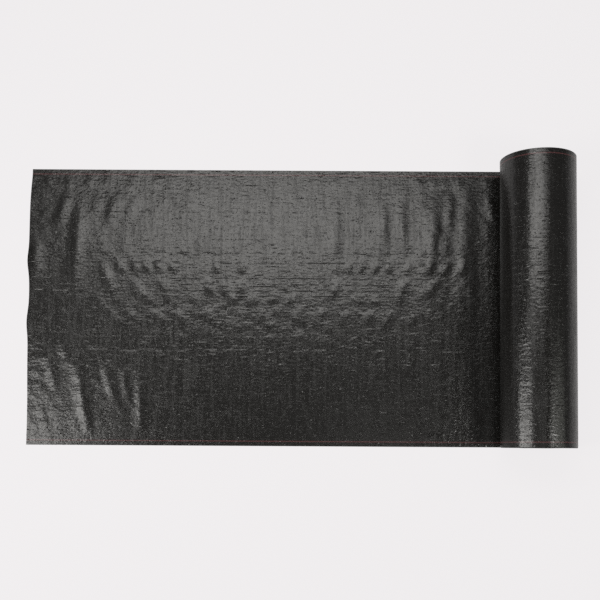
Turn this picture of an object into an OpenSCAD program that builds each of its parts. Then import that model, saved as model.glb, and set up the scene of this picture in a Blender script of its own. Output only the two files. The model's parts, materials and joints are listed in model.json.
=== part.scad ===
// Roll of woven geotextile, partly unrolled.
// One length of cloth: most of it is wound into a roll with an open bore, and the outer end is laid out
// on the ground. X runs along the laid cloth towards the roll, Y runs along the axis of the roll and Z is up.
// The origin is on the ground, at the middle of the whole footprint.

/* [Cloth] */
// Width of the cloth, which is also the length of the roll
cloth_width = 1000; // [500:10:2000]
// Thickness of one layer of cloth
cloth_thickness = 0.5; // [0.3:0.05:1.2]
// Cloth laid out on the ground, from its free end to the line where the roll touches down
laid_length = 1805; // [1000:5:4000]

/* [Roll] */
// Outside diameter of the wound roll
roll_diameter = 258; // [160:1:400]
// Diameter of the open bore through the roll
bore_diameter = 76; // [40:1:100]
// Turns of cloth in each band that stands out on the ends of the roll
turns_per_band = 8; // [4:1:24]
// Depth of the groove between two bands
groove_depth = 1.2; // [0.4:0.1:3]
// Width of that groove at the end face
groove_width = 1.6; // [0.4:0.1:1.8]

/* [Ripples] */
// Height of the tallest ripple in the laid cloth
ripple_height = 3; // [1:0.5:8]
// Length of one ripple along the cloth
ripple_pitch = 82; // [50:1:100]
// Ripples in a row beside the roll
roll_ripples = 5; // [1:1:6]
// Ripples in a row at the free end
end_ripples = 3; // [1:1:4]
// Flat cloth between the roll and its first ripple
nip_flat = 70; // [60:1:120]

/* [Hidden] */
$fn = 96;

roll_r = roll_diameter / 2;
bore_r = bore_diameter / 2;
// Place of the roll's axis along X, with the origin in the middle of the footprint
axis_x = (laid_length - roll_r) / 2;
// The laid cloth runs in under the roll until half its thickness is inside the round
nip_reach = sqrt(roll_r * cloth_thickness);
// Straight steps along one ripple
ripple_steps = 12;

// Radii of the grooves on the ends, one after each whole band of turns
band_pitch = turns_per_band * cloth_thickness;
groove_radii = [for (r = bore_r + band_pitch; r < roll_r - band_pitch / 2; r = r + band_pitch) r];
// A groove never takes up the whole of its band
groove_half = min(groove_width, 0.8 * band_pitch) / 2;

// One end of the roll's half section, from the bore out to the rim, where level is 1 or -1
function end_face(level) = concat(
    [[bore_r, level * cloth_width / 2]],
    [for (r = groove_radii, step = [-1, 0, 1])
        [r + step * groove_half, level * (cloth_width / 2 - (step == 0 ? groove_depth : 0))]],
    [[roll_r, level * cloth_width / 2]]
);

// The same points from last to first
function reversed(points) = [for (i = [len(points) - 1 : -1 : 0]) points[i]];

// Height of a row's ripple, which falls off with its number away from the tallest one
function ripple_top(number, count) = ripple_height * (1 - number / (count + 1));

// Underside of a row of ripples that starts at distance start from the roll's touch-down line.
// The row's tallest ripple is nearest to the roll, or furthest from it if tallest_last is true.
function ripple_row(start, count, tallest_last) = [
    for (i = [0 : count - 1], s = [1 : ripple_steps])
        let (number = tallest_last ? count - 1 - i : i)
        [
            -(start + (i + s / ripple_steps) * ripple_pitch),
            ripple_top(number, count) * (1 - cos(360 * s / ripple_steps)) / 2
        ]
];

// Underside of the laid cloth, from the roll to the free end
end_row_start = laid_length - end_ripples * ripple_pitch;
laid_underside = concat(
    [[-nip_reach, 0], [-nip_flat, 0]],
    ripple_row(nip_flat, roll_ripples, false),
    [[-end_row_start, 0]],
    ripple_row(end_row_start, end_ripples, true)
);

// Wound turns: a turned solid with its bore, and grooves between the bands of turns on both ends
module wound_turns() {
    translate([axis_x, 0, roll_r])
        rotate([90, 0, 0])
            rotate_extrude()
                polygon(concat(end_face(-1), reversed(end_face(1))));
}

// Laid stretch: the cloth's section along its length, drawn out to the cloth's width
module laid_stretch() {
    topside = [for (p = laid_underside) p + [0, cloth_thickness]];
    translate([axis_x, 0, 0])
        rotate([90, 0, 0])
            linear_extrude(height = cloth_width, center = true)
                polygon(concat(laid_underside, reversed(topside)));
}

// The whole cloth is one piece
module geotextile() {
    color([0.13, 0.13, 0.125]) {
        union() {
            wound_turns();
            laid_stretch();
        }
    }
}

geotextile();
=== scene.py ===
"""Dresses a partly unrolled roll of black woven geotextile.

The laid cloth and the outermost turn are one continuous sheet. The turns inside it
are a second piece, whose spiral shows at both ends and in the bore.
"""

import json
import logging
import math
from dataclasses import dataclass, field
from enum import Enum

import bmesh
import bpy
import numpy as np
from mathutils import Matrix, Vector


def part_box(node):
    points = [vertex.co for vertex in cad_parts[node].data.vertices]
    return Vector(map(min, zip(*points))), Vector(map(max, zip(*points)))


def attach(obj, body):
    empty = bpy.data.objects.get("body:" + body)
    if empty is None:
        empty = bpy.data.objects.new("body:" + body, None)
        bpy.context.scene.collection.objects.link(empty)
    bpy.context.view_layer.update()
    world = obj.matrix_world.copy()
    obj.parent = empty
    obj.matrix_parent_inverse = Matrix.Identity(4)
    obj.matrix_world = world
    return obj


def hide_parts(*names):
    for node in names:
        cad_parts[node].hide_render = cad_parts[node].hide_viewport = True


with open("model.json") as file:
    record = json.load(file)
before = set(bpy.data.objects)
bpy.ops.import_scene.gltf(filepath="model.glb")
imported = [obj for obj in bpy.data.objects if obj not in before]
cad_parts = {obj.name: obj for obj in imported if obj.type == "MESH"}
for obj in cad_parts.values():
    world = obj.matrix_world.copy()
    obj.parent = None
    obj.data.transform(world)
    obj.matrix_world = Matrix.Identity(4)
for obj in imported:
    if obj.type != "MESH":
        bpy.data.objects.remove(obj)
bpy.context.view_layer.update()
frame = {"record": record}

LOG = logging.getLogger("geotextile")
FULL_TURN = 2.0 * math.pi
# Faces that meet at more than this angle have a sharp edge between them.
SHARP_ANGLE = math.radians(38.0)
# Added before a number is cut to a whole one, so that whole numbers stay.
ROUNDING = 1e-9
# Name of the attribute that holds the place of each vertex on the flat cloth.
LAY = "lay"
Colour = tuple[float, float, float, float]
Source = bpy.types.NodeSocket | float | tuple[float, ...]


class Slot(Enum):
    """The faces of a piece, by the material slot they wear."""

    WOVEN_FACE = 0
    CUT_EDGE = 1


class LampShape(Enum):
    """The outline of a lamp's front, by Blender's name for it."""

    BOX = "RECTANGLE"
    OVAL = "ELLIPSE"


class MixKind(Enum):
    """What a Mix node mixes: its data type, and the numbers of its sockets for that type."""

    NUMBERS = ("FLOAT", 2, 3, 0)
    COLOURS = ("RGBA", 6, 7, 2)


class ChanceRow(Enum):
    """Rows of chance numbers, one for each trait of a tape or strand."""

    SHADE = 3.0
    START = 5.0
    SLACK = 11.0


@dataclass(frozen=True)
class RollSizes:
    """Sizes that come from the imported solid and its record, in metres.

    Attributes:
        free_end: Where the laid cloth ends, along X.
        axis_x: Where the roll's axis lies, along X.
        radius: Outside radius of the roll, which lies on the ground.
        bore_radius: Radius of the open middle.
        width: Width of the cloth, along Y.
        thickness: Thickness of the cloth.
        clearance: Air between one turn and the next.
    """

    free_end: float
    axis_x: float
    radius: float
    bore_radius: float
    width: float
    thickness: float = 0.0005
    clearance: float = 0.00005

    @classmethod
    def from_frame(cls) -> "RollSizes":
        """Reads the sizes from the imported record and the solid's box.

        Returns:
            The sizes.
        """
        low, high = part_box("geotextile")
        bore = next(m for m in frame["record"]["mounts"] if m["name"] == "bore")
        along, _, height = bore["pos_m"]
        return cls(
            free_end=low.x,
            axis_x=along,
            radius=height,
            bore_radius=bore["dims"]["r_mm"] / 1000.0,
            width=high.y - low.y,
        )

    @property
    def laid_length(self) -> float:
        """Length of cloth between its free end and where the roll touches the ground."""
        return self.axis_x - self.free_end

    @property
    def turn_pitch(self) -> float:
        """How far the outermost turn winds inwards in one turn."""
        return self.thickness + self.clearance


class WaveNoise:
    """Smooth seeded noise made from plane waves."""

    def __init__(
        self,
        seed: int,
        pitches: tuple[float, float],
        heading: float = 0.0,
        spread: float = 90.0,
        count: int = 24,
    ) -> None:
        """Draws the waves.

        Args:
            seed: Seed of the draw.
            pitches: Shortest and longest wave, in metres.
            heading: Angle between the waves' travel and the cloth's length, in degrees.
            spread: How far single waves turn from that heading to each side, in degrees.
            count: Number of waves.
        """
        draw = np.random.default_rng(seed)
        lengths = np.exp(draw.uniform(np.log(pitches[0]), np.log(pitches[1]), count))
        headings = np.radians(heading + draw.uniform(-spread, spread, count))
        self.rate = FULL_TURN / lengths
        self.across_x = self.rate * np.cos(headings)
        self.across_y = self.rate * np.sin(headings)
        self.phases = draw.uniform(0.0, FULL_TURN, count)
        self.share = math.sqrt(2.0 / count)

    def height(self, x: np.ndarray, y: np.ndarray) -> np.ndarray:
        """Height at the given places, in metres, with a spread of one in its slope."""
        total = np.zeros(np.broadcast(x, y).shape)
        for rate, kx, ky, phase in zip(self.rate, self.across_x, self.across_y, self.phases):
            total += np.sin(kx * x + ky * y + phase) / rate
        return total * self.share

    def usual_height(self) -> float:
        """Spread of the height about zero, in metres."""
        return self.share * math.sqrt(0.5 * float(np.sum(self.rate**-2.0)))


@dataclass(frozen=True)
class Ripple:
    """One packet of shallow waves in the laid cloth.

    Attributes:
        pitches: Shortest and longest distance from crest to crest, in metres.
        slope: Spread of the slope of the waves.
        heading: Angle between the waves' travel and the cloth's length, in degrees.
        spread: How far single waves turn from that heading, in degrees.
        middle: Where the waves are tallest, in X and Y.
        reach: How far they reach from there, in X and Y.
        seed: Seed of the waves.
        lift: How far the waves are lifted off the ground, in spreads of their height.
    """

    pitches: tuple[float, float]
    slope: float
    heading: float
    spread: float
    middle: tuple[float, float]
    reach: tuple[float, float]
    seed: int
    lift: float = 1.5

    def height(self, x: np.ndarray, y: np.ndarray) -> np.ndarray:
        """Height of the waves above the ground.

        Args:
            x: Places along the cloth.
            y: Places across the cloth.

        Returns:
            Heights in metres, seldom below zero.
        """
        off_x = (x - self.middle[0]) / self.reach[0]
        off_y = (y - self.middle[1]) / self.reach[1]
        share = self.slope * np.exp(-(off_x**4) - off_y**4)
        waves = WaveNoise(self.seed, self.pitches, self.heading, self.spread)
        return share * (waves.height(x, y) + self.lift * waves.usual_height())


@dataclass(frozen=True)
class FoldRow:
    """A row of short soft folds that lie side by side, across the laid cloth.

    Attributes:
        middle: Middle of the row, along Y.
        half_length: Half of the length of a fold, in metres.
        half_width: Half of the width of a fold, in metres.
        rise: Height of a fold, in metres.
        fan: How much more a fold leans for each metre that it lies from the middle.
        crests: Where the folds' crests lie, along X.
        most_lean: The most that a fold leans.
    """

    middle: float
    half_length: float
    half_width: float
    rise: float
    fan: float
    crests: tuple[float, ...]
    most_lean: float = 0.9

    def height(self, x: np.ndarray, y: np.ndarray) -> np.ndarray:
        """Height of the folds at the given places, in metres."""
        from_middle = y - self.middle
        share = np.clip(1.0 - (from_middle / self.half_length) ** 2, 0.0, None) ** 2
        total = np.zeros(np.broadcast(x, y).shape)
        for crest in self.crests:
            lean = min(max(self.fan * crest, -self.most_lean), self.most_lean)
            total += np.exp(-(((x - crest - lean * from_middle) / self.half_width) ** 2))
        return self.rise * share * total


class Graph:
    """Adds and joins shader nodes in one node tree."""

    def __init__(self, tree: bpy.types.NodeTree) -> None:
        """Takes the tree that the nodes go into."""
        self.tree = tree

    def node(self, kind: str, **settings: object) -> bpy.types.Node:
        """Adds a node.

        Args:
            kind: The node's type; the prefix that most shader nodes share may be left off.
            **settings: Values for the node's properties.

        Returns:
            The new node.
        """
        made = self.tree.nodes.new(kind if kind.startswith("Node") else "ShaderNode" + kind)
        for name, value in settings.items():
            setattr(made, name, value)
        return made

    def join(self, target: bpy.types.NodeSocket, source: Source) -> None:
        """Links a socket to the target, or sets a plain value on it."""
        if isinstance(source, bpy.types.NodeSocket):
            self.tree.links.new(source, target)
        else:
            target.default_value = source

    def math(self, operation: str, *values: Source) -> bpy.types.NodeSocket:
        """Adds a Math node.

        Args:
            operation: The node's operation.
            *values: Its inputs, in order.

        Returns:
            The node's result.
        """
        made = self.node("Math", operation=operation)
        for socket, value in zip(made.inputs, values):
            self.join(socket, value)
        return made.outputs[0]

    def span(
        self, value: Source, low: float, high: float, to_low: float, to_high: float
    ) -> bpy.types.NodeSocket:
        """Maps a value smoothly from one span to another.

        Args:
            value: What is mapped.
            low: Start of the span it comes from.
            high: End of that span.
            to_low: Result at the start.
            to_high: Result at the end.

        Returns:
            The mapped value.
        """
        made = self.node("MapRange", interpolation_type="SMOOTHSTEP")
        made.inputs["From Min"].default_value = low
        made.inputs["From Max"].default_value = high
        made.inputs["To Min"].default_value = to_low
        made.inputs["To Max"].default_value = to_high
        self.join(made.inputs["Value"], value)
        return made.outputs["Result"]

    def place(self, x: Source, y: Source) -> bpy.types.NodeSocket:
        """Joins two numbers into a vector."""
        made = self.node("CombineXYZ")
        self.join(made.inputs["X"], x)
        self.join(made.inputs["Y"], y)
        return made.outputs["Vector"]

    def split(self, vector: Source) -> tuple[bpy.types.NodeSocket, ...]:
        """Splits a vector into its three numbers."""
        made = self.node("SeparateXYZ")
        self.join(made.inputs["Vector"], vector)
        return made.outputs["X"], made.outputs["Y"], made.outputs["Z"]

    def noise(self, x: Source, y: Source, detail: float = 1.0) -> bpy.types.NodeSocket:
        """Noise around zero at a place given by two numbers."""
        made = self.node("TexNoise", noise_dimensions="2D", normalize=False)
        made.inputs["Scale"].default_value = 1.0
        made.inputs["Detail"].default_value = detail
        self.join(made.inputs["Vector"], self.place(x, y))
        return made.outputs["Fac"]

    def chance(self, x: Source, y: Source) -> bpy.types.NodeSocket:
        """A chance number from zero to one for each pair of whole numbers."""
        made = self.node("TexWhiteNoise", noise_dimensions="2D")
        self.join(made.inputs["Vector"], self.place(x, y))
        return made.outputs["Value"]

    def mix(self, kind: MixKind, share: Source, first: Source, second: Source) -> bpy.types.NodeSocket:
        """Mixes two numbers or two colours.

        Args:
            kind: What is mixed.
            share: Share of the second one.
            first: First number or colour.
            second: Second number or colour.

        Returns:
            The mixed number or colour.
        """
        data_type, first_input, second_input, output = kind.value
        made = self.node("Mix", data_type=data_type)
        self.join(made.inputs[0], share)
        self.join(made.inputs[first_input], first)
        self.join(made.inputs[second_input], second)
        return made.outputs[output]

    def bump(self, height: Source) -> bpy.types.NodeSocket:
        """A normal that follows a height given in metres."""
        made = self.node("Bump")
        made.inputs["Distance"].default_value = 1.0
        self.join(made.inputs["Height"], height)
        return made.outputs["Normal"]


@dataclass(frozen=True)
class TapeWeave:
    """A plain weave of flat tapes, as a node group that both finishes use.

    Attributes:
        streak_length: Length over which one tape keeps its tilt, in metres.
        edge_share: Share of a tape's width that is rounded at each edge.
        dip: Height of a tape where it goes under the next one, as a share of its top.
        sudden_run: Number of crossings over which a tape keeps a sudden tilt.
        start_range: How many such runs a strand may be shifted by, so that they differ.
        strand: Number of neighbouring tapes that lean together.
        warp_share: Share of the sudden tilt that the tapes along the cloth take.
        slack_from: Chance number above which a strand is slack.
        slack_most: How many times as far as the others the slackest strand leans.
        apart: Step through the noise from one tape or strand to the next.
        crossing_dullness: Dullness of the dullest single crossing.
        gloss_run: Length over which a tape across the cloth keeps its gloss, in metres.
        worn_levels: Levels of noise between which such a tape goes from new to worn.
        worn_dullness: Dullness that wear adds at most.
        fray_apart: Step through the noise of fraying from one strand to the next.
        fray_run: Length over which a strand across the cloth stays frayed, in metres.
        fray_levels: Levels of noise between which a strand goes from whole to frayed.
        fray_dullness: Dullness that fraying adds at most.
        band_width: Width of the soft duller bands across the cloth, in metres.
        band_length: Length of those bands, in metres.
        band_levels: Levels of noise between which a band comes up.
        band_dullness: Dullness that they add at most.
    """

    streak_length: float = 0.05
    edge_share: float = 0.16
    dip: float = 0.35
    sudden_run: float = 2.0
    start_range: float = 9.0
    strand: float = 2.0
    warp_share: float = 0.50
    slack_from: float = 0.85
    slack_most: float = 1.8
    apart: float = 7.31
    crossing_dullness: float = 0.3
    gloss_run: float = 0.013
    worn_levels: tuple[float, float] = (-0.5, 0.5)
    worn_dullness: float = 0.7
    fray_apart: float = 5.17
    fray_run: float = 0.06
    fray_levels: tuple[float, float] = (0.05, 0.6)
    fray_dullness: float = 0.6
    band_width: float = 0.014
    band_length: float = 0.16
    band_levels: tuple[float, float] = (0.0, 0.6)
    band_dullness: float = 1.1

    def group(self) -> bpy.types.ShaderNodeTree:
        """Builds the node group.

        Returns:
            A group that turns a place on the cloth into the height of the tapes, a
            shade for each tape, the dullness of the surface and the tape on top.
        """
        tree = bpy.data.node_groups.new("tape_weave", "ShaderNodeTree")
        tree.interface.new_socket("Lay", in_out="INPUT", socket_type="NodeSocketVector")
        for name in ("Tape Width", "Tape Rise", "Tape Tilt", "Crossing Tilt"):
            tree.interface.new_socket(name, in_out="INPUT", socket_type="NodeSocketFloat")
        for name in ("Height", "Shade", "Dullness", "Weft On Top"):
            tree.interface.new_socket(name, in_out="OUTPUT", socket_type="NodeSocketFloat")
        g = Graph(tree)
        given = g.node("NodeGroupInput").outputs
        along, across, _ = g.split(given["Lay"])

        column = g.math("DIVIDE", along, given["Tape Width"])
        row = g.math("DIVIDE", across, given["Tape Width"])
        weft = g.math("FLOOR", column)
        warp = g.math("FLOOR", row)
        weft_top = g.math("FLOORED_MODULO", g.math("ADD", weft, warp), 2.0)

        warp_height = self.tape_height(g, row, column)
        weft_height = self.tape_height(g, column, row)
        top_height = g.mix(MixKind.NUMBERS, weft_top, warp_height, weft_height)
        rise = g.math("MULTIPLY", top_height, given["Tape Rise"])

        warp_lean = self.lean(g, row, along)
        weft_lean = self.lean(g, column, across)
        both_leans = g.math("MULTIPLY_ADD", weft_top, weft_lean, warp_lean)
        tape_lean = g.math("MULTIPLY", both_leans, given["Tape Tilt"])
        by_row = self.sudden_lean(g, row, column)
        by_column = self.sudden_lean(g, column, row)
        by_both = g.math("MULTIPLY_ADD", by_row, self.warp_share, by_column)
        crossing_lean = g.math("MULTIPLY", by_both, given["Crossing Tilt"])
        drop = g.math("MULTIPLY", g.math("ADD", tape_lean, crossing_lean), given["Tape Width"])

        # Half of the shade is the tape's own and half is the crossing's.
        cell = g.chance(weft, warp)
        tape_half = g.math("MULTIPLY", g.chance(warp, ChanceRow.SHADE.value), 0.5)
        cell_half = g.math("MULTIPLY", cell, 0.5)

        out = g.node("NodeGroupOutput").inputs
        g.join(out["Height"], g.math("ADD", rise, drop))
        g.join(out["Shade"], g.math("ADD", tape_half, cell_half))
        g.join(out["Dullness"], self.dullness(g, along, across, column, cell))
        g.join(out["Weft On Top"], weft_top)
        return tree

    def dullness(
        self, g: Graph, along: Source, across: Source, column: Source, cell: Source
    ) -> bpy.types.NodeSocket:
        """How dull the surface is, from single crossings up to soft bands.

        Args:
            g: Where the nodes go.
            along: Place along the cloth, in metres.
            across: Place across the cloth, in metres.
            column: Place along the cloth, in tapes.
            cell: A chance number for each crossing.

        Returns:
            Dullness from zero up; one is a plain dull tape.
        """
        tape = g.math("MULTIPLY", g.math("FLOOR", column), self.apart)
        worn = g.noise(tape, g.math("DIVIDE", across, self.gloss_run))
        wear = g.span(worn, *self.worn_levels, 0.0, self.worn_dullness)
        strand = g.math("MULTIPLY", self.strand_number(g, column), self.fray_apart)
        frayed = g.noise(strand, g.math("DIVIDE", across, self.fray_run))
        fraying = g.span(frayed, *self.fray_levels, 0.0, self.fray_dullness)
        band = g.noise(g.math("DIVIDE", along, self.band_width), g.math("DIVIDE", across, self.band_length))
        banding = g.span(band, *self.band_levels, 0.0, self.band_dullness)
        total = g.math("MULTIPLY", cell, self.crossing_dullness)
        for part in (wear, fraying, banding):
            total = g.math("ADD", total, part)
        return total

    def tape_height(self, g: Graph, over: Source, run: Source) -> bpy.types.NodeSocket:
        """Height of a tape where it lies on top.

        Args:
            g: Where the nodes go.
            over: Place across the tapes, in tapes.
            run: Place along the tapes, in crossings.

        Returns:
            Height from zero to one.
        """
        edge = g.span(g.math("PINGPONG", over, 0.5), 0.0, self.edge_share, 0.0, 1.0)
        arch = g.span(g.math("PINGPONG", run, 0.5), 0.0, 0.5, self.dip, 1.0)
        return g.math("MULTIPLY", edge, arch)

    def lean(self, g: Graph, over: Source, run: Source) -> bpy.types.NodeSocket:
        """How far a tape leans to one side, as a share of its tilt and width.

        Args:
            g: Where the nodes go.
            over: Place across the tapes, in tapes.
            run: Place along the tape, in metres.

        Returns:
            The drop at this place.
        """
        strand = self.strand_number(g, over)
        wander = g.noise(g.math("DIVIDE", run, self.streak_length), g.math("MULTIPLY", strand, self.apart))
        slack = g.span(g.chance(strand, ChanceRow.SLACK.value), self.slack_from, 1.0, 1.0, self.slack_most)
        return g.math("MULTIPLY", g.math("MULTIPLY", wander, slack), self.off_middle(g, over))

    def sudden_lean(self, g: Graph, over: Source, run: Source) -> bpy.types.NodeSocket:
        """How far a short run of tape leans, which is seldom much.

        Args:
            g: Where the nodes go.
            over: Place across the tapes, in tapes.
            run: Place along the tape, in crossings.

        Returns:
            The drop at this place, as a share of the tilt and width.
        """
        strand = self.strand_number(g, over)
        start = g.math("MULTIPLY", g.chance(strand, ChanceRow.START.value), self.start_range)
        runs = g.math("ADD", g.math("DIVIDE", run, self.sudden_run), start)
        wander = g.noise(runs, g.math("MULTIPLY", strand, self.apart))
        # The cube keeps most leans small and leaves a few steep ones.
        return g.math("MULTIPLY", self.off_middle(g, over), g.math("POWER", wander, 3.0))

    def strand_number(self, g: Graph, over: Source) -> bpy.types.NodeSocket:
        """Number of the strand at a place across the tapes, in tapes."""
        return g.math("FLOOR", g.math("DIVIDE", over, self.strand))

    @staticmethod
    def off_middle(g: Graph, over: Source) -> bpy.types.NodeSocket:
        """Distance from the middle of a tape, in tapes."""
        return g.math("SUBTRACT", g.math("FRACT", over), 0.5)


@dataclass(frozen=True)
class WovenFinish:
    """The face of the cloth: black tapes with a silky gloss and a red marker tape.

    Attributes:
        dark: Colour of the darkest tapes.
        light: Colour of the lightest tapes.
        marker: Colour of the marker tape.
        marker_inset: Distance of the marker tape from the cloth's edge, in metres.
        marker_half: Half of the marker's width, in metres.
        marker_covered: Share of its colour that shows where a black tape crosses it.
        tape_width: Width of a tape, in metres.
        tape_rise: Height of a tape above the next, in metres.
        tape_tilt: Spread of the tapes' tilt.
        crossing_tilt: Steepest sudden tilt of a short run of tape.
        creases: Where creases run along the cloth, across its width.
        crease_half: Half of the width of a crease, in metres.
        crease_run: Length over which a crease comes and goes, in metres.
        crease_levels: Levels of noise between which a crease comes up.
        crease_apart: Step through that noise from one crease to the next.
        crease_waver: How far a crease strays from its line, in metres.
        waver_row: Row of the noise that the straying follows.
        crease_rise: Height of a crease, in metres.
        cockle_length: Length of the cloth's smallest swellings, in metres.
        cockle_width: Width of those swellings, in metres.
        cockle_rise: Height of those swellings, in metres.
        glossy: Roughness of the smoothest tapes.
        dull: Roughness of plain dull tapes; frayed strands and duller bands pass it.
        slant: How far aslant the view is where the tapes begin to look duller, and
            where they no longer change.
        slant_dullness: Roughness that is added there, because the weave shades itself.
        gloss_level: Strength of the gloss.
    """

    dark: Colour = (0.0050, 0.0047, 0.0042, 1.0)
    light: Colour = (0.0086, 0.0081, 0.0074, 1.0)
    marker: Colour = (0.0750, 0.0280, 0.0290, 1.0)
    marker_inset: float = 0.0172
    marker_half: float = 0.0019
    marker_covered: float = 0.55
    tape_width: float = 0.0026
    tape_rise: float = 0.00002
    tape_tilt: float = 0.055
    crossing_tilt: float = 0.250
    creases: tuple[float, ...] = (0.200, 0.163, 0.1075, 0.085, 0.062, 0.043)
    crease_half: float = 0.0045
    crease_run: float = 0.045
    crease_levels: tuple[float, float] = (-0.15, 0.2)
    crease_apart: float = 5.7
    crease_waver: float = 0.0025
    waver_row: float = 3.3
    crease_rise: float = 0.00042
    cockle_length: float = 0.014
    cockle_width: float = 0.0090
    cockle_rise: float = 0.00016
    glossy: float = 0.10
    dull: float = 0.19
    slant: tuple[float, float] = (0.30, 0.50)
    slant_dullness: float = 0.14
    gloss_level: float = 0.42

    def material(self, weave: bpy.types.ShaderNodeTree, sizes: RollSizes) -> bpy.types.Material:
        """Builds the material.

        Args:
            weave: The weave's node group.
            sizes: Sizes of the roll.

        Returns:
            The material.
        """
        made = bpy.data.materials.new("woven_tape_face")
        made.use_nodes = True
        g = Graph(made.node_tree)
        shader = made.node_tree.nodes["Principled BSDF"]
        lay = g.node("Attribute", attribute_name=LAY).outputs["Vector"]
        along, across, _ = g.split(lay)
        tapes = g.node("Group", node_tree=weave)
        g.join(tapes.inputs["Lay"], lay)
        g.join(tapes.inputs["Tape Width"], self.tape_width)
        g.join(tapes.inputs["Tape Rise"], self.tape_rise)
        g.join(tapes.inputs["Tape Tilt"], self.tape_tilt)
        g.join(tapes.inputs["Crossing Tilt"], self.crossing_tilt)

        inset = g.math("SUBTRACT", sizes.width / 2.0, g.math("ABSOLUTE", across))
        g.join(shader.inputs["Base Color"], self.tape_colour(g, tapes, inset))
        rough = g.math("MULTIPLY_ADD", tapes.outputs["Dullness"], self.dull - self.glossy, self.glossy)
        aslant = g.span(g.node("LayerWeight").outputs["Facing"], *self.slant, 0.0, self.slant_dullness)
        g.join(shader.inputs["Roughness"], g.math("ADD", rough, aslant))
        shader.inputs["Specular IOR Level"].default_value = self.gloss_level
        g.join(shader.inputs["Normal"], g.bump(self.relief(g, tapes, along, across)))
        return made

    def tape_colour(self, g: Graph, tapes: bpy.types.Node, inset: Source) -> bpy.types.NodeSocket:
        """Colour of the tapes, with the marker tape among them.

        Args:
            g: Where the nodes go.
            tapes: The weave in this material.
            inset: Distance from the cloth's nearest long edge, in metres.

        Returns:
            The colour.
        """
        on_marker = g.math("COMPARE", inset, self.marker_inset, self.marker_half)
        bare = g.span(tapes.outputs["Weft On Top"], 0.0, 1.0, 1.0, self.marker_covered)
        black = g.mix(MixKind.COLOURS, tapes.outputs["Shade"], self.dark, self.light)
        return g.mix(MixKind.COLOURS, g.math("MULTIPLY", on_marker, bare), black, self.marker)

    def relief(
        self, g: Graph, tapes: bpy.types.Node, along: Source, across: Source
    ) -> bpy.types.NodeSocket:
        """Height of the surface: the tapes, the small swellings and the creases.

        Args:
            g: Where the nodes go.
            tapes: The weave in this material.
            along: Place along the cloth, in metres.
            across: Place across the cloth, in metres.

        Returns:
            Height in metres.
        """
        swell = g.noise(
            g.math("DIVIDE", along, self.cockle_length),
            g.math("DIVIDE", across, self.cockle_width),
        )
        swollen = g.math("MULTIPLY_ADD", swell, self.cockle_rise, tapes.outputs["Height"])
        creased = self.crease_height(g, along, across)
        return g.math("MULTIPLY_ADD", creased, self.crease_rise, swollen)

    def crease_height(self, g: Graph, along: Source, across: Source) -> bpy.types.NodeSocket:
        """Height of the creases, which come and go along the cloth.

        Args:
            g: Where the nodes go.
            along: Place along the cloth, in metres.
            across: Place across the cloth, in metres.

        Returns:
            Height, which is one at the crest of a crease.
        """
        total: Source = 0.0
        run = g.math("DIVIDE", along, self.crease_run)
        stray = g.math("MULTIPLY_ADD", g.noise(run, self.waver_row), self.crease_waver, across)
        for number, crease in enumerate(self.creases):
            off = g.math("ABSOLUTE", g.math("SUBTRACT", stray, crease))
            line = g.span(off, 0.0, self.crease_half, 1.0, 0.0)
            come = g.span(g.noise(run, self.crease_apart * number), *self.crease_levels, 0.0, 1.0)
            total = g.math("MULTIPLY_ADD", line, come, total)
        return total


@dataclass(frozen=True)
class EdgeFinish:
    """The edges of the wound turns: matt black, a little greyer where they are worn.

    Attributes:
        dark: Colour of the darkest turns.
        light: Colour of the lightest turns.
        tape_width: Width of a tape, in metres.
        tape_rise: Height of a tape above the next, in metres.
        band_rates: How fast the worn bands change, for each turn and each metre of cloth.
        band_detail: Number of finer layers in the bands.
        band_levels: Levels of noise between which a band goes from new to worn.
        least_worn: Wear of the newest bands.
        glossy: Roughness of the smoothest edges.
        dull: Roughness of the dullest edges.
        gloss_level: Strength of the gloss.
    """

    dark: Colour = (0.0090, 0.0088, 0.0082, 1.0)
    light: Colour = (0.0420, 0.0405, 0.0380, 1.0)
    tape_width: float = 0.0025
    tape_rise: float = 0.00015
    band_rates: tuple[float, float] = (0.09, 0.6)
    band_detail: float = 3.0
    band_levels: tuple[float, float] = (-0.5, 0.6)
    least_worn: float = 0.1
    glossy: float = 0.45
    dull: float = 0.75
    gloss_level: float = 0.30

    def material(self, weave: bpy.types.ShaderNodeTree) -> bpy.types.Material:
        """Builds the material.

        Args:
            weave: The weave's node group.

        Returns:
            The material.
        """
        made = bpy.data.materials.new("woven_tape_edges")
        made.use_nodes = True
        g = Graph(made.node_tree)
        shader = made.node_tree.nodes["Principled BSDF"]
        along, _, turn = g.split(g.node("Attribute", attribute_name=LAY).outputs["Vector"])
        tapes = g.node("Group", node_tree=weave)
        across = g.math("MULTIPLY", g.math("FLOOR", turn), self.tape_width)
        g.join(tapes.inputs["Lay"], g.place(along, across))
        g.join(tapes.inputs["Tape Width"], self.tape_width)
        g.join(tapes.inputs["Tape Rise"], self.tape_rise)
        g.join(tapes.inputs["Tape Tilt"], 0.0)
        g.join(tapes.inputs["Crossing Tilt"], 0.0)

        by_turn, by_length = self.band_rates
        bands = g.noise(
            g.math("MULTIPLY", turn, by_turn),
            g.math("MULTIPLY", along, by_length),
            self.band_detail,
        )
        wear = g.span(bands, *self.band_levels, self.least_worn, 1.0)
        worn = g.math("MULTIPLY", wear, tapes.outputs["Shade"])
        g.join(shader.inputs["Base Color"], g.mix(MixKind.COLOURS, worn, self.dark, self.light))
        rough = g.span(tapes.outputs["Dullness"], 0.0, 1.0, self.glossy, self.dull)
        g.join(shader.inputs["Roughness"], rough)
        shader.inputs["Specular IOR Level"].default_value = self.gloss_level
        g.join(shader.inputs["Normal"], g.bump(tapes.outputs["Height"]))
        return made


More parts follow.
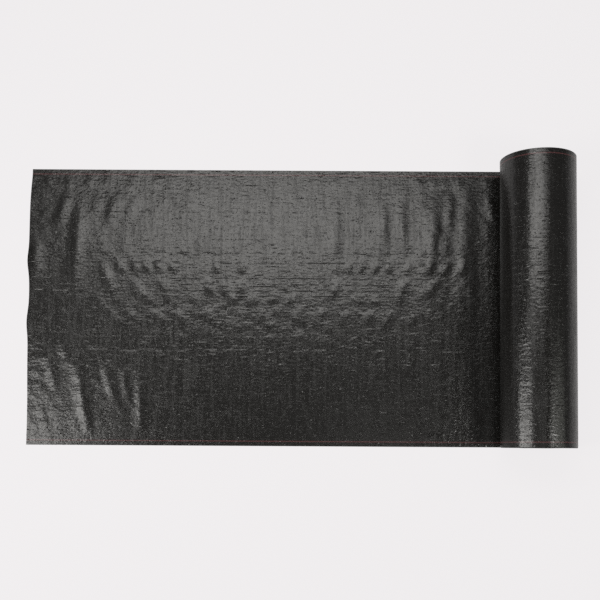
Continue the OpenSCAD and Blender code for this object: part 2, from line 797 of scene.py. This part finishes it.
def make_piece(name: str, points: np.ndarray, faces: np.ndarray, lay: np.ndarray) -> bpy.types.Object:
    """Makes a mesh piece of four-sided faces.

    Args:
        name: The piece's name.
        points: Places of its vertices.
        faces: Four vertex numbers for each face.
        lay: Place of each vertex on the flat cloth.

    Returns:
        The new object, in the scene.
    """
    mesh = bpy.data.meshes.new(name)
    mesh.from_pydata(points.tolist(), [], faces.tolist())
    flat = mesh.attributes.new(LAY, "FLOAT_VECTOR", "POINT")
    flat.data.foreach_set("vector", lay.astype(np.float32).ravel())
    mesh.shade_smooth()
    mesh.set_sharp_from_angle(angle=SHARP_ANGLE)
    made = bpy.data.objects.new(name, mesh)
    bpy.context.scene.collection.objects.link(made)
    return made


def grid_faces(numbers: np.ndarray) -> np.ndarray:
    """Joins a grid of vertex numbers into four-sided faces.

    Args:
        numbers: Vertex numbers, two or more each way.

    Returns:
        Four vertex numbers for each face.
    """
    corners = (numbers[:-1, :-1], numbers[1:, :-1], numbers[1:, 1:], numbers[:-1, 1:])
    return np.stack([c.ravel() for c in corners], axis=1)


def declare(piece: bpy.types.Object) -> None:
    """Says what the piece rides on, and hides the imported solid that it stands for."""
    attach(piece, "root")
    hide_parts("geotextile")


@dataclass
class LaidCloth:
    """The laid stretch of cloth and the outermost turn that it runs into.

    Attributes:
        sizes: Sizes of the roll.
        laid_steps: Steps along the laid stretch.
        turn_steps: Steps round the roll.
        width_steps: Steps across the cloth.
        edge_calm: Distance from the long edges over which the ripples fade, in metres.
        edge_share: Share of the ripples' height that is left at those edges.
        nip_gap: Distance from the roll's touch line where no ripple is left, in metres.
        nip_calm: Distance from there over which the ripples fade, in metres.
        touch_blend: Height over which the cloth eases onto the ground, in metres.
        end_bulges: Middle and half-width of each bulge of the free end, across the cloth.
        bulge_reach: How far a bulge stands out, in metres.
        corner_width: Width over which the far corner is drawn in, in metres.
        corner_reach: How far that corner is drawn in, in metres.
        waver_reach: How far the free end wavers besides, in metres.
        waver_width: Width of one waver, in metres.
        waver_start: Where in a waver the cloth's middle lies, in radians.
        end_fade: Distance from the free end over which its shape fades, in metres.
        folds: The rows of folds in the laid stretch.
        ripples: The packets of waves in the laid stretch.
    """

    sizes: RollSizes
    laid_steps: int = 292
    turn_steps: int = 80
    width_steps: int = 130
    edge_calm: float = 0.09
    edge_share: float = 0.25
    nip_gap: float = 0.03
    nip_calm: float = 0.16
    touch_blend: float = 0.0004
    end_bulges: tuple[tuple[float, float], ...] = ((0.165, 0.045), (-0.055, 0.050))
    bulge_reach: float = 0.0065
    corner_width: float = 0.07
    corner_reach: float = 0.0060
    waver_reach: float = 0.0012
    waver_width: float = 0.43
    waver_start: float = 0.9
    end_fade: float = 0.12
    folds: tuple[FoldRow, ...] = (
        # Short folds along the far edge.
        FoldRow(0.460, 0.033, 0.015, 0.0020, 0.0,
                (-0.90, -0.825, -0.755, -0.69, -0.595, -0.51, 0.05, 0.14, 0.44, 0.495, 0.535, 0.585, 0.69)),
        # Longer folds in the far half.
        FoldRow(0.265, 0.165, 0.024, 0.0036, 0.16, (0.490,)),
        FoldRow(0.220, 0.220, 0.024, 0.0038, -0.10, (-0.795,)),
        FoldRow(0.300, 0.130, 0.017, 0.0028, -0.10, (0.145, 0.315, 0.380)),
        FoldRow(0.351, 0.080, 0.020, 0.0031, -0.35, (-0.67, 0.712)),
        FoldRow(0.345, 0.075, 0.016, 0.0028, 0.12, (0.553,)),
        FoldRow(0.351, 0.080, 0.020, 0.0024, -0.35, (-0.85,)),
        FoldRow(0.165, 0.120, 0.022, 0.0034, 0.0, (-0.945,)),
        # Faint rows in the far half.
        FoldRow(0.351, 0.080, 0.022, 0.0013, -0.35, (-0.735, -0.60, -0.51, -0.41, 0.05, 0.22)),
        FoldRow(0.220, 0.060, 0.020, 0.0013, 0.4, (-0.745, -0.70, -0.62, -0.345, 0.14, 0.54)),
        # Short folds across the middle, and one longer fold among them.
        FoldRow(0.148, 0.034, 0.014, 0.0024, 0.6, (-0.64, -0.585, -0.545, -0.50, -0.45, -0.29, -0.20)),
        FoldRow(0.148, 0.034, 0.014, 0.0019, 0.3, (0.145, 0.19, 0.235, 0.285, 0.335, 0.405)),
        FoldRow(0.148, 0.034, 0.014, 0.0024, 0.3, (0.48, 0.54, 0.60)),
        FoldRow(0.105, 0.075, 0.018, 0.0030, 0.4, (-0.685,)),
        FoldRow(0.070, 0.045, 0.018, 0.0024, 1.0,
                (-0.575, -0.475, -0.315, -0.26, -0.20, 0.14, 0.380, 0.485)),
        FoldRow(0.030, 0.028, 0.018, 0.0013, 0.0,
                (-0.72, -0.54, -0.47, -0.37, -0.23, -0.155, -0.09, -0.02, 0.05, 0.225, 0.285, 0.375)),
        FoldRow(-0.035, 0.042, 0.020, 0.0012, 1.4,
                (-0.66, -0.59, -0.50, -0.42, -0.31, -0.12, 0.01, 0.09, 0.18, 0.26, 0.33, 0.43)),
        # Folds by the near corner of the free end.
        FoldRow(-0.170, 0.090, 0.018, 0.0022, 0.20, (-0.832, -0.757)),
        FoldRow(-0.225, 0.095, 0.018, 0.0030, 0.22, (-0.882,)),
        FoldRow(-0.260, 0.120, 0.016, 0.0018, 0.20, (-0.615,)),
        FoldRow(-0.290, 0.220, 0.021, 0.0042, 0.19, (-0.775,)),
        FoldRow(-0.260, 0.130, 0.020, 0.0028, 0.36, (-0.675,)),
        FoldRow(-0.330, 0.190, 0.018, 0.0030, 0.05, (-0.560,)),
        # Ridges beside the roll.
        FoldRow(0.200, 0.420, 0.034, 0.0042, 0.07, (0.607,)),
        FoldRow(0.160, 0.360, 0.100, 0.0060, 0.0, (0.500,)),
        FoldRow(0.050, 0.150, 0.018, 0.0020, 0.0, (0.634,)),
        FoldRow(-0.300, 0.420, 0.100, 0.0040, 0.0, (0.530,)),
    )
    ripples: tuple[Ripple, ...] = (
        Ripple((0.030, 0.055), 0.025, 0.0, 60.0, (0.58, 0.20), (0.16, 0.26), 3),
        Ripple((0.034, 0.060), 0.025, 0.0, 90.0, (-0.90, 0.22), (0.10, 0.30), 5),
        Ripple((0.060, 0.090), 0.012, 0.0, 6.0, (-0.10, 0.28), (0.60, 0.30), 11),
        Ripple((0.034, 0.060), 0.035, 0.0, 90.0, (-0.82, -0.36), (0.24, 0.22), 29),
        Ripple((0.048, 0.076), 0.032, 3.0, 12.0, (0.42, -0.34), (0.24, 0.20), 31),
        Ripple((0.030, 0.060), 0.010, 0.0, 90.0, (-0.10, 0.00), (1.60, 0.90), 37),
        Ripple((0.030, 0.060), 0.022, 0.0, 90.0, (-0.15, -0.05), (0.60, 0.10), 41),
        Ripple((0.028, 0.050), 0.085, 0.0, 90.0, (0.42, -0.45), (0.24, 0.09), 47),
    )

    def ripple_height(self, x: np.ndarray, y: np.ndarray) -> np.ndarray:
        """Height of the laid cloth above the ground.

        Args:
            x: Places along the cloth.
            y: Places across the cloth.

        Returns:
            Heights in metres, never below zero.
        """
        total = sum(form.height(x, y) for form in (*self.folds, *self.ripples))
        total = 0.5 * (total + np.hypot(total, self.touch_blend))
        from_edge = self.ease((self.sizes.width / 2.0 - np.abs(y)) / self.edge_calm)
        from_roll = self.ease((self.sizes.axis_x - self.nip_gap - x) / self.nip_calm)
        return total * (self.edge_share + (1.0 - self.edge_share) * from_edge) * from_roll

    @staticmethod
    def ease(share: np.ndarray) -> np.ndarray:
        """A smooth step, which goes from zero to one where the share does."""
        held = np.clip(share, 0.0, 1.0)
        return held * held * (3.0 - 2.0 * held)

    def end_wave(self, y: np.ndarray) -> np.ndarray:
        """How far the free end wavers along X, across the cloth.

        Args:
            y: Places across the cloth.

        Returns:
            Shifts in metres; a bulge away from the roll is below zero.
        """
        half = self.sizes.width / 2.0
        bulges = sum(np.exp(-(((y - middle) / width) ** 2)) for middle, width in self.end_bulges)
        corner = np.exp(-(((y - half) / self.corner_width) ** 2))
        waver = np.sin(FULL_TURN * y / self.waver_width + self.waver_start)
        return self.corner_reach * corner + self.waver_reach * waver - self.bulge_reach * bulges

    def middle_surface(self) -> tuple[np.ndarray, np.ndarray, np.ndarray]:
        """Lays out the middle of the cloth's thickness.

        Returns:
            Places on a grid, and the lengths and widths on the flat cloth.
        """
        s = self.sizes
        laid = np.linspace(0.0, s.laid_length, self.laid_steps + 1)
        turn = np.linspace(0.0, FULL_TURN, self.turn_steps + 1)[1:]
        across = np.linspace(-s.width / 2.0, s.width / 2.0, self.width_steps + 1)
        length, width = np.meshgrid(laid, across, indexing="ij")
        fade = np.exp(-length / self.end_fade)
        x = s.free_end + length + self.end_wave(width) * fade
        z = s.thickness / 2.0 + self.ripple_height(x, width)
        ground = np.stack([x, width, z], axis=2)

        angle, turn_width = np.meshgrid(turn, across, indexing="ij")
        radius = s.radius - s.thickness / 2.0 - s.turn_pitch * angle / FULL_TURN
        wound = np.stack(
            [s.axis_x + radius * np.sin(angle), turn_width, s.radius - radius * np.cos(angle)], axis=2
        )
        wound_length = s.laid_length + s.radius * angle
        places = np.concatenate([ground, wound])
        return places, np.concatenate([length, wound_length]), np.concatenate([width, turn_width])

    def build(self) -> bpy.types.Object:
        """Builds the sheet as a closed mesh with the cloth's thickness.

        Returns:
            The piece.
        """
        places, length, width = self.middle_surface()
        normal = np.cross(np.gradient(places, axis=0), np.gradient(places, axis=1))
        normal /= np.linalg.norm(normal, axis=2, keepdims=True)
        half = self.sizes.thickness / 2.0
        upper = np.arange(length.size).reshape(length.shape)
        under = upper + length.size
        points, lay = [], []
        for side in (1.0, -1.0):
            points.append((places + side * half * normal).reshape(-1, 3))
            lay.append(np.stack([length, width, np.full_like(length, side)], axis=2).reshape(-1, 3))
        rims = [
            np.stack([under[0], upper[0]], axis=1),
            np.stack([upper[-1], under[-1]], axis=1),
            np.stack([upper[:, 0], under[:, 0]], axis=1),
            np.stack([under[:, -1], upper[:, -1]], axis=1),
        ]
        faces = [grid_faces(upper), grid_faces(under)[:, ::-1]]
        faces += [grid_faces(rim)[:, ::-1] for rim in rims]
        return make_piece(
            "laid_cloth_and_outer_turn",
            np.concatenate(points),
            np.concatenate(faces),
            np.concatenate(lay),
        )

    def dress(self, piece: bpy.types.Object, face: bpy.types.Material) -> None:
        """Args:
            piece: The sheet.
            face: Material of the woven face.
        """
        piece.data.materials.append(face)
        declare(piece)


@dataclass
class WoundTurns:
    """The turns inside the outermost one, down to the bore.

    Attributes:
        sizes: Sizes of the roll.
        steps: Steps round a turn.
        groove_share: Share of a turn's pitch taken by its rounded shoulder.
        groove_depth: Depth of the groove between two turns, in metres.
        drift: How far the turns wander along the axis, in metres.
        drift_turns: Number of neighbouring turns that wander together.
        jitter: How far one turn stands off its neighbours, in metres.
        slow_wobble: Share of the jitter that goes once round a turn.
        quick_wobble: Share of the jitter that goes three times round a turn.
        seed: Seed of all of this.
        points_per_turn: Points across the edge of a turn: its groove and two shoulders.
    """

    sizes: RollSizes
    steps: int = 72
    groove_share: float = 0.2
    groove_depth: float = 0.0007
    drift: float = 0.0011
    drift_turns: int = 25
    jitter: float = 0.00035
    slow_wobble: float = 0.50
    quick_wobble: float = 0.35
    seed: int = 31
    points_per_turn: int = field(default=3, init=False)

    def turn_count(self) -> int:
        """Number of turns, all but the outermost one."""
        return int((self.outer_radius() - self.sizes.bore_radius) / self.sizes.thickness) - 1

    def outer_radius(self) -> float:
        """Radius of the widest place of these turns."""
        return self.sizes.radius - self.sizes.thickness - self.sizes.clearance

    def stand_off(self, turn: np.ndarray, angle: np.ndarray) -> np.ndarray:
        """How far each turn is shifted along the axis.

        Args:
            turn: Turn numbers from the bore.
            angle: Angles round the turn.

        Returns:
            Shifts in metres.
        """
        draw = np.random.default_rng(self.seed)
        count = self.turn_count() + 2
        window = np.hanning(self.drift_turns)
        steps = draw.normal(0.0, 1.0, count)
        slow = np.convolve(steps, window / np.sqrt((window**2).sum()), mode="same")
        own = draw.normal(0.0, 1.0, count)
        lean = draw.uniform(0.0, FULL_TURN, count)
        whole = turn.astype(int)
        once = np.sin(angle + lean[whole])
        thrice = np.sin(3.0 * angle + 2.0 * lean[whole])
        wobble = self.slow_wobble * once + self.quick_wobble * thrice
        return self.drift * slow[whole] + self.jitter * (own[whole] + wobble)

    def build(self) -> bpy.types.Object:
        """Builds the turns as one closed spiral body.

        Returns:
            The piece.
        """
        s = self.sizes
        turns = self.turn_count()
        pitch = (self.outer_radius() - s.bore_radius) / (turns + 1)
        rings = self.points_per_turn * turns
        ring = np.arange(rings + 1)
        step = np.arange(self.steps + 1)
        step_grid, ring_grid = np.meshgrid(step, ring, indexing="ij")
        turn = ring_grid // self.points_per_turn
        part = ring_grid % self.points_per_turn
        share = np.choose(part, [0.0, self.groove_share, 1.0 - self.groove_share])
        angle = FULL_TURN * (1.0 - step_grid / self.steps)
        spiral = turn + share + step_grid / self.steps
        radius = s.bore_radius + pitch * spiral
        x = s.axis_x + radius * np.sin(angle)
        z = s.radius - radius * np.cos(angle)
        length = s.laid_length + np.pi * (s.radius**2 - radius**2) / pitch

        number = np.floor(turn + step_grid / self.steps + ROUNDING)
        shift = self.stand_off(number, angle)
        before = self.stand_off(np.maximum(number - 1, 0), angle)
        groove = part == 0
        shift = np.where(groove, 0.5 * (shift + before), shift)
        sink = np.where(groove, self.groove_depth, 0.0)

        count = x.size
        numbers = np.arange(count).reshape(x.shape)
        joined = numbers.copy()
        joined[-1, : rings + 1 - self.points_per_turn] = numbers[0, self.points_per_turn:]
        half = s.width / 2.0
        points, lay = [], []
        for side in (1.0, -1.0):
            y = side * (half - sink) + shift
            points.append(np.stack([x, y, z], axis=2).reshape(-1, 3))
            lay.append(np.stack([length, np.clip(y, -half, half), spiral], axis=2).reshape(-1, 3))
        far, near = joined, joined + count
        ends = np.concatenate([grid_faces(far), grid_faces(near)])
        last = self.points_per_turn
        walls = [
            np.stack([far[:, -1], near[:, -1]], axis=1),
            np.stack([far[:, 0], near[:, 0]], axis=1),
            np.stack([far[-1, -1 - last:], near[-1, -1 - last:]], axis=1),
            np.stack([far[0, : last + 1], near[0, : last + 1]], axis=1),
        ]
        faces = np.concatenate([ends] + [grid_faces(wall) for wall in walls])
        piece = make_piece("wound_turns", np.concatenate(points), faces, np.concatenate(lay))
        slots = np.full(len(faces), Slot.WOVEN_FACE.value, dtype=np.int32)
        slots[: len(ends)] = Slot.CUT_EDGE.value
        piece.data.polygons.foreach_set("material_index", slots)
        self.clean(piece.data)
        return piece

    @staticmethod
    def clean(mesh: bpy.types.Mesh) -> None:
        """Drops vertices that no face uses and turns all faces outwards."""
        work = bmesh.new()
        work.from_mesh(mesh)
        loose = [v for v in work.verts if not v.link_faces]
        bmesh.ops.delete(work, geom=loose, context="VERTS")
        bmesh.ops.recalc_face_normals(work, faces=work.faces)
        work.to_mesh(mesh)
        work.free()

    def dress(
        self, piece: bpy.types.Object, face: bpy.types.Material, edges: bpy.types.Material
    ) -> None:
        """Args:
            piece: The turns.
            face: Material of the woven face.
            edges: Material of the turns' edges.
        """
        piece.data.materials.append(face)
        piece.data.materials.append(edges)
        declare(piece)


@dataclass(frozen=True)
class SoftBox:
    """A soft studio lamp with an even front.

    Attributes:
        name: The lamp's name.
        place: Middle of its front.
        size: Its two sides, in metres.
        aim: The point that it faces.
        brightness: Brightness of its front, where one is a white wall in plain light.
        shape: Outline of its front.
        colour: Colour of its light.
    """

    name: str
    place: tuple[float, float, float]
    size: tuple[float, float]
    aim: tuple[float, float, float]
    brightness: float
    shape: LampShape = LampShape.BOX
    colour: tuple[float, float, float] = (1.0, 0.985, 0.955)

    def build(self) -> bpy.types.Object:
        """Builds the lamp.

        Returns:
            The lamp's object.
        """
        lamp = bpy.data.lights.new(self.name, "AREA")
        lamp.shape = self.shape.value
        lamp.size, lamp.size_y = self.size
        area = self.size[0] * self.size[1]
        if self.shape is LampShape.OVAL:
            area *= math.pi / 4.0
        # An even front sends out pi times its brightness for each square metre.
        lamp.energy = self.brightness * math.pi * area
        lamp.color = self.colour
        made = bpy.data.objects.new(self.name, lamp)
        made.location = self.place
        facing = Vector(self.aim) - Vector(self.place)
        made.rotation_euler = facing.to_track_quat("-Z", "Y").to_euler()
        made.visible_camera = False
        bpy.context.scene.collection.objects.link(made)
        return made


@dataclass(frozen=True)
class Studio:
    """The floor, the lamps, the surrounding light and the camera.

    Attributes:
        floor_colour: Colour of the pale floor.
        floor_reach: How far the round floor reaches, in metres.
        floor_sides: Number of straight sides round it.
        floor_drop: How far it lies below the cloth, in metres.
        floor_glow: Share of the floor's look that stays even away from the lamps.
        floor_shine: Share of that even look that shows in the cloth's gloss.
        overhead: Brightness of the surroundings straight overhead, beyond the lamps.
        upper: Brightness of the surroundings high up at the sides.
        around: Brightness of the surroundings at the sides.
        horizon: Brightness of the surroundings at the horizon, and of the backdrop.
        horizon_band: Heights between which it fades, where one is straight overhead.
        upper_band: Heights between which the brightness goes over to that high up.
        overhead_band: Heights between which it goes over to that overhead.
        tint: Colour of the surroundings.
        lamps: The soft boxes.
        camera_place: Where the camera stands.
        camera_turn: How the camera is turned from looking straight down.
        lens: Focal length, in millimetres.
        film: Width of the film, in millimetres.
        shift: Upward shift of the lens, as a share of the frame.
    """

    floor_colour: Colour = (0.862, 0.845, 0.853, 1.0)
    floor_reach: float = 16.0
    floor_sides: int = 96
    floor_drop: float = 0.0003
    floor_glow: float = 0.92
    floor_shine: float = 0.3
    overhead: float = 0.06
    upper: float = 0.22
    around: float = 0.16
    horizon: float = 0.793
    horizon_band: tuple[float, float] = (0.0, 0.05)
    upper_band: tuple[float, float] = (0.60, 0.88)
    overhead_band: tuple[float, float] = (0.90, 0.955)
    tint: Colour = (1.0, 0.98, 0.99, 1.0)
    lamps: tuple[SoftBox, ...] = (
        SoftBox("back_box", (-0.10, 1.14, 3.0), (3.30, 1.22), (-0.10, 1.14, 0.0), 2.35, LampShape.OVAL),
        SoftBox("back_box_core", (-0.28, 1.11, 2.99), (2.44, 0.90), (-0.28, 1.11, 0.0), 2.2),
        SoftBox("back_box_middle", (-0.235, 1.11, 2.98), (1.77, 0.90), (-0.235, 1.11, 0.0), 0.35),
        SoftBox("back_box_heart", (-0.38, 1.11, 2.97), (0.96, 0.90), (-0.38, 1.11, 0.0), 0.40),
        SoftBox("left_box", (-2.28, -0.74, 2.44), (1.20, 2.63), (-1.337, -0.74, 2.105), 8.2),
        SoftBox("right_box", (2.88, -0.60, 2.44), (1.10, 2.40), (0.84, -0.60, 0.25), 1.35,
                colour=(0.98, 1.0, 0.90)),
        SoftBox("front_right_box", (2.45, -1.10, 3.0), (0.90, 0.95), (0.60, -0.40, 0.0), 13.0),
        SoftBox("front_box", (0.70, -0.50, 3.0), (0.88, 0.44), (0.70, -0.50, 0.0), 0.8),
        SoftBox("ceiling_panel", (-0.64, 0.35, 3.02), (3.54, 3.10), (-0.64, 0.35, 0.0), 0.22),
    )
    camera_place: tuple[float, float, float] = (0.01628, -0.51153, 3.08389)
    camera_turn: tuple[float, float, float] = (0.03626, 0.0, 0.00597)
    lens: float = 51.505
    film: float = 36.0
    shift: float = 0.1972

    def build_floor(self) -> bpy.types.Object:
        """Builds the round floor.

        Returns:
            The floor.
        """
        mesh = bpy.data.meshes.new("floor")
        turns = np.linspace(0.0, FULL_TURN, self.floor_sides, endpoint=False)
        reach = self.floor_reach
        rim = [(reach * math.cos(turn), reach * math.sin(turn), -self.floor_drop) for turn in turns]
        mesh.from_pydata(rim, [], [tuple(range(len(rim)))])
        mesh.materials.append(self.floor_material())
        floor = bpy.data.objects.new("floor", mesh)
        bpy.context.scene.collection.objects.link(floor)
        return floor

    def floor_material(self) -> bpy.types.Material:
        """Builds a finish that keeps the shadows but stays pale to the camera.

        Returns:
            The material.
        """
        made = bpy.data.materials.new("pale_floor")
        made.use_nodes = True
        g = Graph(made.node_tree)
        made.node_tree.nodes.remove(made.node_tree.nodes["Principled BSDF"])
        lit = g.node("BsdfDiffuse")
        lit.inputs["Color"].default_value = self.floor_colour
        glow = g.node("Emission")
        glow.inputs["Color"].default_value = self.floor_colour
        path = g.node("LightPath").outputs
        in_gloss = g.math("MULTIPLY", path["Is Glossy Ray"], self.floor_shine)
        in_others = g.math("MAXIMUM", in_gloss, path["Is Transmission Ray"])
        seen = g.math("MAXIMUM", path["Is Camera Ray"], in_others)
        mix = g.node("MixShader")
        g.join(mix.inputs[0], g.math("MULTIPLY", seen, self.floor_glow))
        g.join(mix.inputs[1], lit.outputs[0])
        g.join(mix.inputs[2], glow.outputs[0])
        g.join(made.node_tree.nodes["Material Output"].inputs["Surface"], mix.outputs[0])
        return made

    def build_surroundings(self) -> None:
        """Lights the scene softly from all round, and shows the camera a pale backdrop."""
        world = bpy.data.worlds.new("studio")
        world.use_nodes = True
        bpy.context.scene.world = world
        g = Graph(world.node_tree)
        _, _, height = g.split(g.node("TexCoord").outputs["Generated"])
        low = g.span(height, *self.horizon_band, self.horizon, self.around)
        high = g.span(height, *self.upper_band, 0.0, self.upper - self.around)
        top = g.span(height, *self.overhead_band, 0.0, self.overhead - self.upper)
        light = g.math("ADD", low, g.math("ADD", high, top))
        camera = g.node("LightPath").outputs["Is Camera Ray"]
        background = world.node_tree.nodes["Background"]
        background.inputs["Color"].default_value = self.tint
        g.join(background.inputs["Strength"], g.mix(MixKind.NUMBERS, camera, light, self.horizon))

    def build_camera(self) -> bpy.types.Object:
        """Sets the camera up above the middle of the cloth's near edge.

        Returns:
            The camera's object.
        """
        data = bpy.data.cameras.new("camera")
        data.lens = self.lens
        data.sensor_width = self.film
        data.shift_y = self.shift
        made = bpy.data.objects.new("camera", data)
        made.location = self.camera_place
        made.rotation_euler = self.camera_turn
        bpy.context.scene.collection.objects.link(made)
        bpy.context.scene.camera = made
        return made

    def build(self) -> None:
        """Builds the floor, the lamps, the surroundings and the camera."""
        self.build_floor()
        for lamp in self.lamps:
            lamp.build()
        self.build_surroundings()
        self.build_camera()
        bpy.context.scene.view_settings.view_transform = "Standard"
        bpy.context.scene.cycles.use_denoising = False


def main() -> None:
    """Builds the pieces and the studio, and reports each piece."""
    logging.basicConfig(level=logging.INFO, format="%(name)s: %(message)s")
    sizes = RollSizes.from_frame()
    weave = TapeWeave().group()
    face = WovenFinish().material(weave, sizes)
    edges = EdgeFinish().material(weave)

    turns = WoundTurns(sizes)
    wound = turns.build()
    turns.dress(wound, face, edges)
    cloth = LaidCloth(sizes)
    laid = cloth.build()
    cloth.dress(laid, face)
    Studio().build()
    for piece in (wound, laid):
        LOG.info("%s: %d faces", piece.name, len(piece.data.polygons))


if __name__ == "__main__":
    main()
